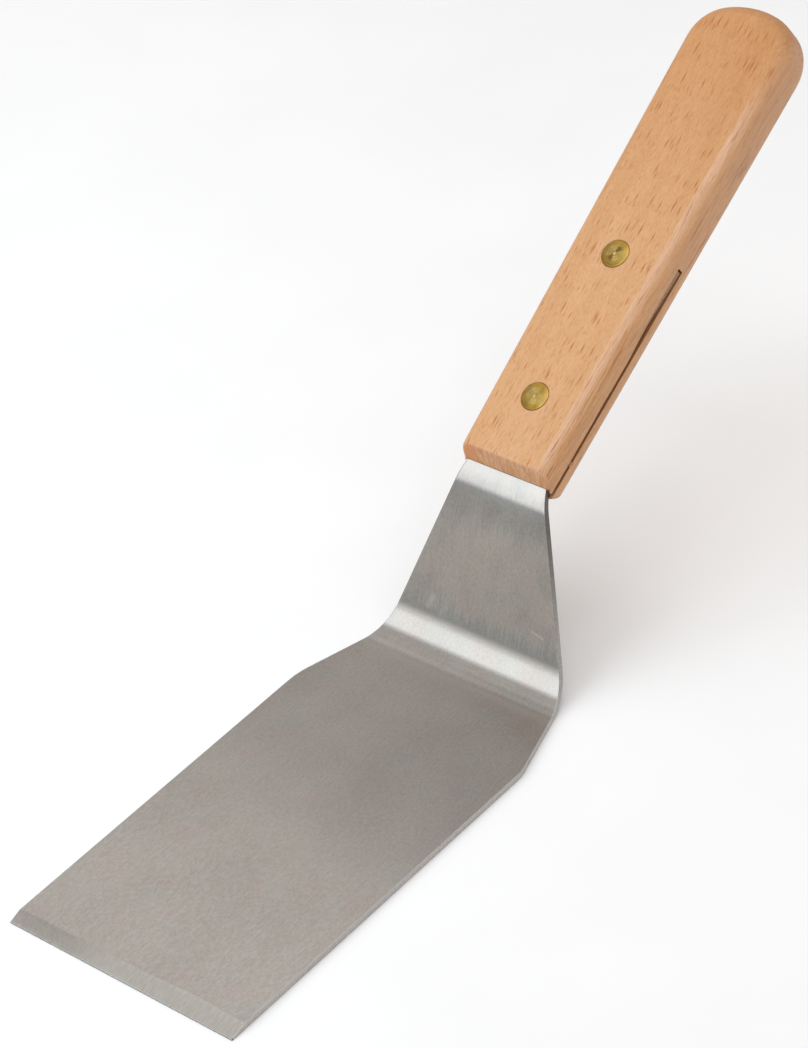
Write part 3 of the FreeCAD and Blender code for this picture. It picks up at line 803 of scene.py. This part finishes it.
def sheared_material():
    """The sheet's cut edge, with fine marks across its thickness: a painted highlight along the
    blade's edge, painted shade towards the handle, and browner inside the kerf."""
    material, tree, shader = new_material("sheared_steel")
    flat = new_node(tree, "Attribute", attribute_name="flat").outputs["Vector"]
    length = parts(flat)[0]
    marks = grainy(flat, (3.0, 0.6, 1), 3.0, 0.6)
    tone = ramp(marks, 0.3, 0.7)
    dull = mixed(tone, rgb(112, 110, 108), rgb(132, 129, 126))
    middling = mixed(tone, rgb(172, 169, 166), rgb(194, 191, 187))
    painted_edge_highlight = mixed(tone, rgb(186, 183, 180), rgb(208, 205, 201))
    warm = mixed(tone, rgb(152, 116, 94), rgb(184, 148, 126))
    colour = dull
    # painted shade and highlight: the edge darkens towards the handle and lightens along the blade
    for low, high, towards in (
        (ZONES[3]["from"], ZONES[1]["to"], middling),
        (ZONES[1]["to"], ZONES[0]["to"], painted_edge_highlight),
        (TANG_START + 12.0, TANG_START + 45.0, warm),
        (0.6, 0.3, dull),
    ):
        colour = mixed(fade(length, low, high), colour, towards)
    shader.inputs["Metallic"].default_value = 1.0
    return surface(material, colour, ramp(marks, 0.2, 0.8, 0.40, 0.55), marks, 0.35, 0.06)


def flecks(place, cell, longest, share, seed):
    """Short dark rays along the grain, pointed at both ends: one in some cells of a stretched
    Voronoi pattern. cell is a cell's length and width in millimetres, longest the longest ray's
    half length as a share of the cell's, and share the part of the cells that have one."""
    moved = node("VectorMath", {0: place, 1: (seed, seed * 0.7, 0)}, operation="ADD")
    scale = (1 / cell[0], 1 / cell[1], 0)
    inputs = {"Vector": stretched(moved.outputs[0], scale), "Scale": 1.0, "Randomness": 0.95}
    pattern = {"feature": "F1", "distance": "MANHATTAN", "voronoi_dimensions": "2D"}
    cells = node("TexVoronoi", inputs, **pattern).outputs
    chance = node("SeparateColor", {0: cells["Color"]}).outputs
    reach = ramp(chance[0], 1.0 - share, 1.0, 0.35 * longest, longest)
    return times(
        ramp(cells["Distance"], reach, times(reach, 0.5)),
        calc("GREATER_THAN", chance[0], 1.0 - share),
        ramp(chance[1], 0.0, 1.0, 0.45, 1.0),
    )


def wandering(spot):
    """How far the beech's grain strays sideways at a place: a long drift and a slight ripple."""
    drift = grainy(spot, (0.02, 0.08, 0.08), 2.0)
    ripple = grainy(spot, (0.30, 0.9, 0.9), 2.0)
    drift = times(calc("SUBTRACT", drift, 0.5), 3.0 * MM)
    ripple = times(calc("SUBTRACT", ripple, 0.5), 0.25 * MM)
    return calc("ADD", drift, ripple)


def plain_beech(grain, fibres, length):
    """The wood's tan in broad bands, darker towards the butt, with blotches, strands and fibres."""
    bands = ramp(grainy(grain, (0.012, 0.16, 0.16), 3.0), 0.3, 0.7)
    blotches = grainy(grain, (0.22, 0.7, 0.7), 2.0)
    strands = grainy(grain, (0.35, 1.4, 1.4), 3.0, 0.6)
    front = mixed(bands, rgb(226, 179, 134), rgb(219, 169, 120))
    rear = mixed(bands, rgb(213, 158, 106), rgb(204, 148, 94))
    wood = mixed(fade(length, 50.0, HANDLE_LENGTH), front, rear)
    wood = toned(ramp(blotches, 0.35, 0.65, 0, 0.30), wood, 246, 242, 232)
    wood = toned(ramp(strands, 0.42, 0.62, 0, 0.45), wood, 244, 238, 228)
    return toned(ramp(fibres, 0.45, 0.65, 0, 0.75), wood, 238, 228, 214)


def rays(axes, sideways, side, on_side):
    """The beech's dark rays, long and short, laid out on the top and, fainter, on the sides."""
    round_it = calc("GREATER_THAN", side, 0.6)
    level = node("Mix", {0: round_it, 2: axes[1], 3: axes[2]}, data_type="FLOAT").outputs[0]
    unrolled = {"X": axes[0], "Y": calc("ADD", level, sideways)}
    unrolled = node("CombineXYZ", unrolled).outputs[0]
    big = flecks(unrolled, (8.5, 1.0), 0.37, 0.56, 0.013)
    small = flecks(unrolled, (4.6, 0.75), 0.32, 0.5, 0.041)
    ray = calc("MAXIMUM", big, times(small, 0.55))
    return times(ray, ramp(on_side, 0.0, 1.0, 1.0, 0.35))


def beech_sides(colour, grain, length, facing, on_side):
    """The rounded edge to the right gets a painted sheen in pale streaks, and the sides are hairy
    and get paler towards the butt, as the butt's end is."""
    hairs = grainy(grain, (0.13, 2.6, 2.6), 3.0, 0.6)
    to_right = times(facing[1], -1.0)
    # painted sheen: the right rounded edge is lightened in pale streaks
    painted_sheen = times(
        ramp(to_right, 0.10, 0.30),
        ramp(to_right, 0.95, 0.6),
        ramp(hairs, 0.66, 0.36, 0.22, 0.66),
        fade(length, 122.0, 104.0),
    )
    colour = mixed(painted_sheen, colour, rgb(238, 197, 168))
    light, dark = tinted(colour, 255, 250, 240), tinted(colour, 240, 222, 202)
    hairy = mixed(ramp(hairs, 0.40, 0.62), light, dark)
    colour = mixed(on_side, colour, hairy)
    at_end = ramp(facing[0], 0.35, 0.9)
    paler = fade(length, 20.0, 110.0, 0.12, 0.40)
    pale_side = times(calc("MAXIMUM", on_side, at_end), paler)
    return mixed(pale_side, colour, rgb(234, 192, 156))


def beech_ends(colour, spot, axes, end_grain):
    """End grain: speckled on the jaws' faces, redder at their left ends and with a painted shadow
    beside the steel, and the wood's own colour, a little darker, on the butt."""
    spots = ramp(grainy(spot, (0.3, 1.3, 0.3), 4.0, 0.65), 0.35, 0.65)
    face = mixed(spots, rgb(222, 176, 136), rgb(202, 142, 94))
    red_end = fade(axes[1], 6.0, 12.0, 0.0, 0.7)
    face = mixed(red_end, face, rgb(214, 136, 78))
    at_butt = calc("GREATER_THAN", axes[0], HANDLE_LENGTH / 2 * MM)
    face = mixed(at_butt, face, tinted(colour, 236, 222, 206))
    # painted shadow: a dark line on the jaws' faces where they meet the steel
    off_middle = calc("ABSOLUTE", axes[2])
    painted_contact_shadow = fade(off_middle, KERF / 2 + 0.45, KERF / 2 + 0.1, 0.0, 0.6)
    painted_contact_shadow = times(painted_contact_shadow, calc("SUBTRACT", 1.0, at_butt))
    face = mixed(painted_contact_shadow, face, rgb(124, 78, 48))
    return mixed(end_grain, colour, face)


def beech_kerf(colour, axes, side):
    """The kerf's sawn faces, darkened with painted shade inside the narrow slit."""
    off_middle = calc("ABSOLUTE", axes[2])
    # painted shade inside the kerf
    sawn = times(
        fade(off_middle, KERF * 0.53, KERF * 0.48),
        calc("LESS_THAN", axes[0], (KERF_DEPTH + 0.1) * MM),
        calc("LESS_THAN", side, 0.5),
        0.9,
    )
    return mixed(sawn, colour, rgb(146, 84, 42))


def beech_material():
    """Bare beech, pinkish tan: short dark rays, finer fibres, broad soft bands along the grain,
    streaked sides that get paler towards the butt, redder end grain on the jaws' faces, a painted
    sheen on the right rounded edge, and painted shade in the kerf and beside the steel."""
    material, tree, shader = new_material("bare_beech")
    spot = new_node(tree, "TexCoord").outputs["Object"]
    facing = parts(new_node(tree, "TexCoord").outputs["Normal"])
    axes = parts(spot)
    sideways = wandering(spot)
    shift = node("CombineXYZ", {"Y": sideways, "Z": sideways}).outputs[0]
    grain = node("VectorMath", {0: spot, 1: shift}, operation="ADD").outputs[0]
    fibres = grainy(grain, (0.9, 3.2, 3.2), 4.0, 0.7)
    pores = grainy(grain, (0.6, 8.0, 8.0), 2.0)
    streaks = grainy(grain, (0.07, 1.5, 1.5), 4.0, 0.7)
    side = calc("ABSOLUTE", facing[1])
    on_side, off_top = ramp(side, 0.50, 0.85), ramp(side, 0.15, 0.6)
    end_grain = ramp(calc("ABSOLUTE", facing[0]), 0.35, 0.9)

    colour = plain_beech(grain, fibres, axes[0])
    ray = rays(axes, sideways, side, on_side)
    colour = mixed(times(ray, 0.95), colour, rgb(184, 112, 52))
    colour = beech_sides(colour, grain, axes[0], facing, on_side)
    dark_streaks = times(ramp(streaks, 0.52, 0.74), ramp(off_top, 0.0, 1.0, 0.0, 0.8))
    colour = mixed(dark_streaks, colour, rgb(150, 92, 50))
    colour = beech_ends(colour, spot, axes, end_grain)
    colour = beech_kerf(colour, axes, side)

    rough = ramp(fibres, 0.3, 0.7, 0.36, 0.50)
    rough = calc("ADD", rough, times(end_grain, 0.15))
    shader.inputs["Specular IOR Level"].default_value = 0.55
    relief = calc("ADD", times(fibres, 0.5), times(pores, 0.3))
    relief = calc("SUBTRACT", relief, times(ray, 0.4))
    relief = calc("SUBTRACT", relief, times(dark_streaks, 0.25))
    return surface(material, colour, rough, relief, 0.45, 0.12)


def brass_wear_shade_and_highlight(colour, axes, radius, turn):
    """A head's face darkened in its outer ring as painted shade, painted shade on its side to the
    handle's front, a painted highlight on its side to the right, and its dark rim. turn is the
    rivet's turn in the handle in degrees."""
    size = HEAD_RADIUS * MM
    # painted shade: the outer ring is darkened to dim the crown's reflection
    painted_ring_shade = ramp(radius, 0.55 * size, 0.85 * size, 0.0, 0.8)
    colour = toned(painted_ring_shade, colour, 216, 204, 176)

    def towards(bearing):
        """How far out a point is along a bearing in the handle, as a share of the head's radius."""
        angle = radians(bearing - turn)
        x, y = times(axes[0], cos(angle) / size), times(axes[1], sin(angle) / size)
        return calc("ADD", x, y)

    # painted shade on the side to the handle's front, and a painted highlight on the side to the
    # right
    colour = toned(ramp(towards(180), 0.15, 0.75), colour, 206, 202, 186)
    painted_highlight_side = ramp(towards(-85), 0.35, 0.9, 0.0, 0.55)
    colour = mixed(painted_highlight_side, colour, rgb(250, 214, 122))
    rim = ramp(radius, size - 0.2 * MM, size)
    return mixed(times(rim, 0.6), colour, rgb(108, 84, 40))


def brass_material(name, turn, bow_tie, bow_tie_reach):
    """Turned brass, slightly dulled: uneven rings round the axis, a bow tie of painted shade across
    them, a patchy tarnish, a painted highlight on the centre, and wear with painted shade and
    highlight. turn is the rivet's turn in the handle in degrees, bow_tie how dark the painted bow
    tie is, from 0 to 1, and bow_tie_reach its reach as a share of the head."""
    material, tree, shader = new_material(name)
    size = HEAD_RADIUS * MM
    spot = new_node(tree, "TexCoord").outputs["Object"]
    axes = parts(spot)
    flat_spot = node("CombineXYZ", {"X": axes[0], "Y": axes[1]}).outputs[0]
    radius = node("VectorMath", {0: flat_spot}, operation="LENGTH").outputs["Value"]
    ring_place = node("CombineXYZ", {"X": radius}).outputs[0]
    rings = grainy(ring_place, (2.2, 1, 1), 3.0, 0.7)
    patches = grainy(spot, (0.5, 0.5, 0.5), 3.0)
    rubbed_patches_and_painted_highlight = grainy(spot, (2.5, 2.5, 2.5), 3.0)
    colour = mixed(ramp(patches, 0.35, 0.65), rgb(222, 186, 92), rgb(186, 164, 104))
    colour = mixed(ramp(rubbed_patches_and_painted_highlight, 0.45, 0.7, 0, 0.5), colour, rgb(168, 138, 66))
    colour = mixed(ramp(rings, 0.48, 0.72, 0, 0.6), colour, rgb(140, 110, 52))
    # painted shade: a dark bow tie across the rings
    double_angle = times(calc("ARCTAN2", axes[1], axes[0]), 2.0)
    painted_bow_tie_shade = times(
        ramp(calc("COSINE", double_angle), 0.2, 0.95),
        ramp(radius, 0.06 * size, 0.18 * size),
        ramp(radius, bow_tie_reach * size, 0.6 * bow_tie_reach * size),
        bow_tie,
    )
    colour = mixed(painted_bow_tie_shade, colour, rgb(116, 90, 44))
    # painted highlight: the centre is lightened
    centre = times(ramp(radius, 0.14 * size, 0.04 * size), 0.4)
    colour = mixed(centre, colour, rgb(240, 214, 180))
    colour = brass_wear_shade_and_highlight(colour, axes, radius, turn)

    metal(tree, shader, 0.6, direction_type="RADIAL", axis="Z")
    shader.inputs["Anisotropic Rotation"].default_value = 0.25
    relief = calc("ADD", times(rings, 0.6), times(rubbed_patches_and_painted_highlight, 0.4))
    return surface(material, colour, ramp(rings, 0.3, 0.7, 0.36, 0.50), relief, 0.5, 0.05)


def floor_material():
    """A pale matt floor, with a tone that varies very slightly."""
    material, tree, shader = new_material("pale_floor")
    spot = new_node(tree, "TexCoord").outputs["Object"]
    tone = ramp(grainy(spot, (0.02, 0.02, 0.02), 2.0), 0.3, 0.7)
    colour = mixed(tone, rgb(243, 247, 251, 1.0), rgb(245, 249, 253, 1.0))
    tree.links.new(colour, shader.inputs["Base Color"])
    shader.inputs["Roughness"].default_value = 0.9
    shader.inputs["Specular IOR Level"].default_value = 0.1
    return material


# ---------------- the pieces


def make_sheet():
    """The steel sheet, drilled for the rivets, with its flat places as UVs for the tangents."""
    materials = (steel_material(), sheared_material())
    sheet = new_piece("bent_steel_sheet", "blade_neck_and_tang", sheet_mesh(), materials)
    in_millimetres, depth = handle_place(), 2 * SHEET
    in_millimetres.translation /= MM
    outline = [(0, -depth), (SHANK_HOLE, -depth), (SHANK_HOLE, depth), (0, depth)]
    holes = [lathe(outline, 48, (distance, 0)) for distance in RIVETS.values()]
    for hole in holes:
        hole.transform(in_millimetres)
    cut(sheet, holes)
    mesh = sheet.data
    lines = mesh.uv_layers.new(name="sheet_lines")
    flat = mesh.attributes["flat"].data
    for loop in mesh.loops:
        length, across = flat[loop.vertex_index].vector[:2]
        lines.data[loop.index].uv = (across, length)
    shade(sheet, 50)


def make_handle():
    """The beech handle, kerfed and drilled, with a chip out of the lower jaw's right edge."""
    materials = (beech_material(),)
    handle = new_piece("beech_handle", "handle", handle_mesh(), materials, handle_place())
    right_side = -HALF_FRONT - (HALF_BUTT - HALF_FRONT) * 0.1
    cutters = [kerf_cutter(), chip_cutter((CHIP_X, right_side, -KERF / 2 - 0.1), CHIP_SIZE)]
    cutters += [rivet_cutter(distance) for distance in RIVETS.values()]
    cut(handle, cutters)
    shade(handle, 40)


def make_rivets():
    """Each rivet's two halves. turned holds each rivet's rings' depth and pitch, its nub's height
    and its turn in the handle, and bow_ties how dark its bow tie of painted shade is and its reach."""
    turned = {"front": (0.006, 0.71, 0.05, -40), "rear": (0.010, 0.83, 0.12, -25)}
    bow_ties = {"front": (0.3, 0.9), "rear": (0.85, 0.72)}
    for which, distance in RIVETS.items():
        depth, pitch, nub, turn = turned[which]
        brass = brass_material("%s_turned_brass" % which, turn, *bow_ties[which])
        for half in ("male", "female"):
            place = handle_place() @ Matrix.Translation((distance * MM, 0, 0))
            place = place @ Matrix.Rotation(radians(turn), 4, "Z")
            if half == "female":
                place = place @ Matrix.Rotation(pi, 4, "X")
            cad_node = "%s_rivet_%s" % (which, half)
            bm = rivet_mesh(half, depth, pitch, nub)
            rivet = new_piece(cad_node + "_turned", cad_node, bm, (brass,), place)
            shade(rivet, 40)


def make_floor():
    """A round floor, a hair below the blade so that the two faces don't fight."""
    radius, below = 6000, 0.05
    bm = bmesh.new()
    bmesh.ops.create_circle(bm, cap_ends=True, segments=96, radius=radius)
    floor = placed("floor", bm, Matrix.Translation((0, 0, -below * MM)))
    floor.data.materials.append(floor_material())


# ---------------- light and camera


def softbox(name, bearing, reach, across, length, width, radiance, colour=(1, 1, 1)):
    """A rectangular light that faces the upper bend's line, its long edges parallel to Y. bearing
    is the angle from +X up to its middle seen along Y, reach its distance there, and across its
    middle's Y."""
    target = on_sheet(TANG_START, 0, 0) * MM
    bearing = radians(bearing)
    light = bpy.data.lights.new(name, "AREA")
    light.shape = "RECTANGLE"
    light.size, light.size_y = length, width
    light.energy = STUDIO_GAIN * radiance * pi * length * width
    light.color = colour
    lamp = placed(name, light)
    lamp.location = target + Vector((cos(bearing) * reach, across, sin(bearing) * reach))
    lamp.rotation_euler = (0, pi / 2 - bearing, 0)


def make_light():
    """A warm grey studio, brighter above the horizon and overhead, and three lights: a softbox
    ahead of the blade, high and to the left, a narrow strip nearly overhead to the left, and a
    wide one overhead to the right."""
    world = bpy.data.worlds.new("studio")
    world.use_nodes = True
    tree = world.node_tree
    background = tree.nodes["Background"]
    height = parts(new_node(tree, "TexCoord").outputs["Generated"])[2]
    walls = ramp(height, 0.0, 0.3, 0.38, 0.53)
    ceiling = ramp(height, 0.6, 0.95, 0.0, 0.10)
    glow = times(calc("ADD", walls, ceiling), STUDIO_GAIN)
    tree.links.new(glow, background.inputs["Strength"])
    background.inputs["Color"].default_value = (1.0, 0.92, 0.86, 1)
    bpy.context.scene.world = world
    softbox("left_softbox", bearing=140.8, reach=0.72, across=0.56, length=0.76, width=1.1,
            radiance=1.62, colour=(0.91, 0.97, 1.0))
    softbox("rear_strip", bearing=72.5, reach=0.471, across=0.45, length=0.13, width=1.0,
            radiance=0.46, colour=(1.0, 0.97, 0.93))
    softbox("overhead_softbox", bearing=84, reach=1.1, across=-0.45, length=0.55, width=1.0,
            radiance=1.9)


def make_camera():
    """The photo's camera, from its angles and its distance in millimetres from a target."""
    azimuth, elevation, roll = radians(-41.0), radians(37.24), radians(-12.36)
    distance, focal_length = 1092.29, 143.89
    target = Vector((97.85, 36.04, 20.0))
    level_back = Vector((sin(azimuth), -cos(azimuth), 0))
    back = level_back * cos(elevation) + Vector((0, 0, sin(elevation)))
    level = Vector((cos(azimuth), sin(azimuth), 0))
    upright = back.cross(level)
    right = level * cos(roll) + upright * sin(roll)
    up = upright * cos(roll) - level * sin(roll)
    lens = bpy.data.cameras.new("camera")
    lens.sensor_width, lens.lens = 36.0, focal_length
    lens.clip_start, lens.clip_end = 0.05, 10.0
    turn = Matrix((right, up, back)).transposed().to_4x4()
    place = Matrix.Translation((target + back * distance) * MM) @ turn
    bpy.context.scene.camera = placed("camera", lens, place)


make_sheet()
make_handle()
make_rivets()
make_floor()
make_light()
make_camera()
bpy.context.scene.view_settings.view_transform = "Standard"
